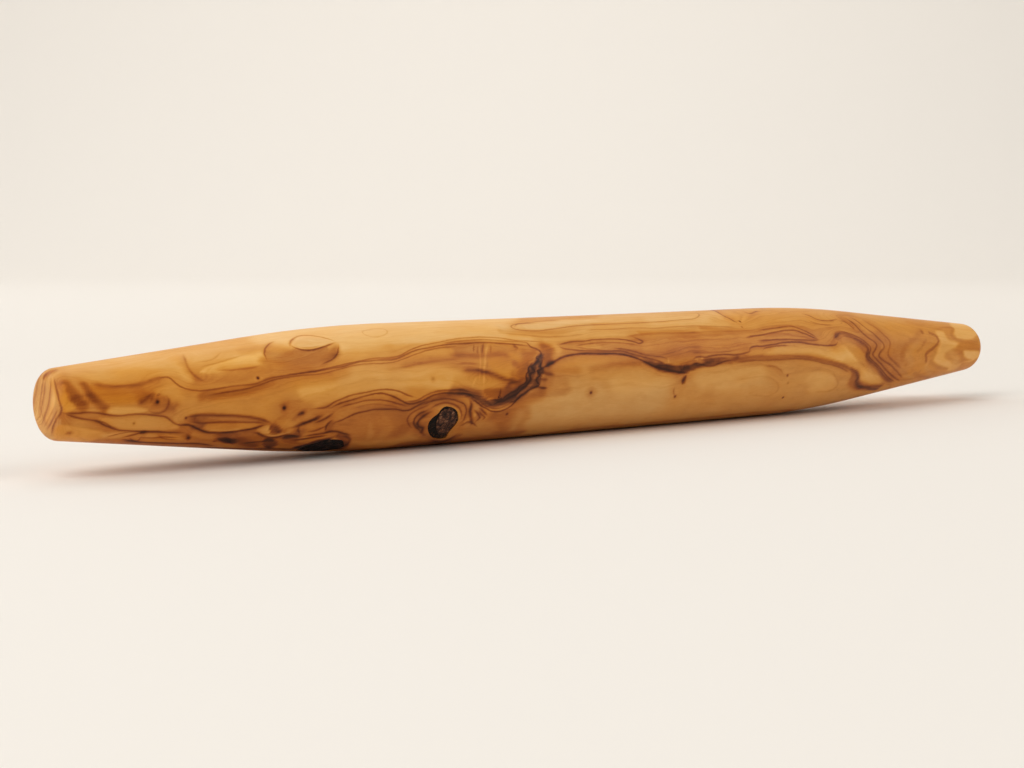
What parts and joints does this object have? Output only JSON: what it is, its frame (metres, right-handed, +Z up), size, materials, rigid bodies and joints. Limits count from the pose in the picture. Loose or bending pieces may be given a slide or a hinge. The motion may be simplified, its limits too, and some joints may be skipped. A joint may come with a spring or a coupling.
{
  "type": "french rolling pin",
  "caption": "Handle-less wooden rolling pin: a straight barrel that blends into long tapers with flat, round-rimmed ends, turned from figured olive wood.",
  "frame": {"origin": "on the pin's axis, half-way between its two end faces", "axes": "+X along the pin's axis towards its slimmer end, +Z up as the pin lies, -Y towards the side with the knots"},
  "size_m": [0.457, 0.0445, 0.0444],
  "materials": {
    "olive_wood": "oiled satin",
    "knot_bark": "matt",
    "knot_wood": "oiled satin"
  },
  "bodies": {
    "root": {"pin_body": "olive_wood", "front_knot_bark": "knot_bark", "front_knot_core": "knot_wood", "lower_knot": "knot_wood"}
  },
  "joints": []
}
